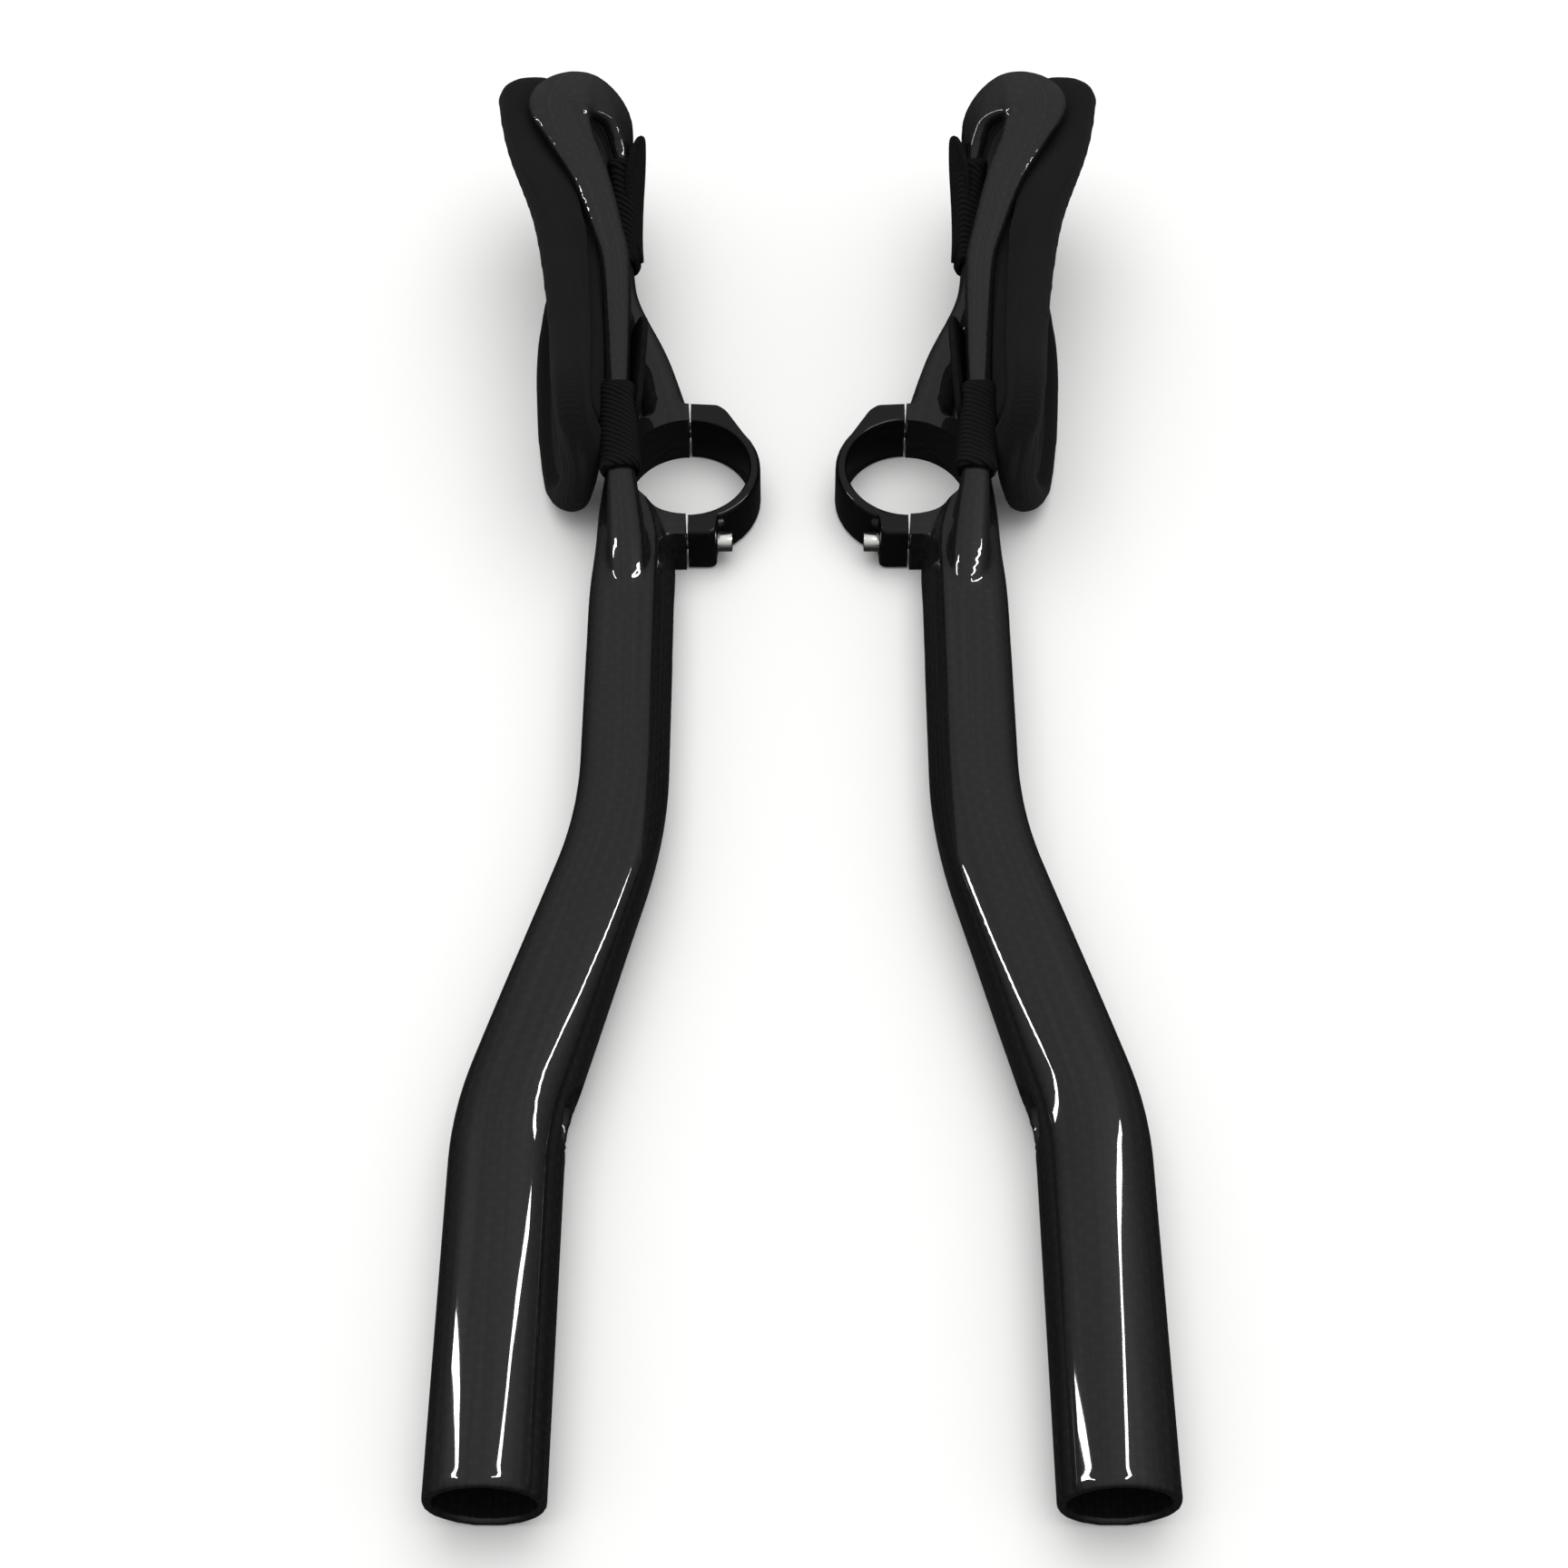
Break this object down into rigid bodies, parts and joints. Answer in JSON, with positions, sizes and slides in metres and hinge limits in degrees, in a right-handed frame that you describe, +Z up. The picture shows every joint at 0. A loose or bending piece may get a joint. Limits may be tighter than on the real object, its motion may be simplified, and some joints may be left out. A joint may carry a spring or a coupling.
{
  "type": "time trial handlebar",
  "caption": "Clip-on time trial handlebar: mirrored S-bend carbon extensions with a split clamp, a looped arm rest and a strapped-on forearm pad.",
  "frame": {"origin": "middle of the overall box at table height, between both bars", "axes": "+Y from the bar tips back to the arm rests, +Z up from the table, +X to the right seen from the tips"},
  "size_m": [0.157, 0.3874, 0.0576],
  "materials": {
    "carbon": "clear-coated black carbon fibre",
    "cap": "gloss black anodised aluminium",
    "screw": "polished stainless steel",
    "insert": "plain machined",
    "pad": "matt black knit over foam",
    "strap": "black twill elastic",
    "tab": "black hook-and-loop tape"
  },
  "bodies": {
    "root": {"left_extension_bar": "carbon", "left_clamp_cap": "cap", "left_front_clamp_bolt": "screw", "left_rear_clamp_bolt": "screw", "left_front_thread_insert": "insert", "left_rear_thread_insert": "insert", "left_arm_pad": "pad", "left_front_strap": "strap", "left_rear_strap": "strap", "left_front_hook_tab": "tab", "left_rear_hook_tab": "tab", "right_extension_bar": "carbon", "right_clamp_cap": "cap", "right_front_clamp_bolt": "screw", "right_rear_clamp_bolt": "screw", "right_front_thread_insert": "insert", "right_rear_thread_insert": "insert", "right_arm_pad": "pad", "right_front_strap": "strap", "right_rear_strap": "strap", "right_front_hook_tab": "tab", "right_rear_hook_tab": "tab"}
  },
  "joints": []
}
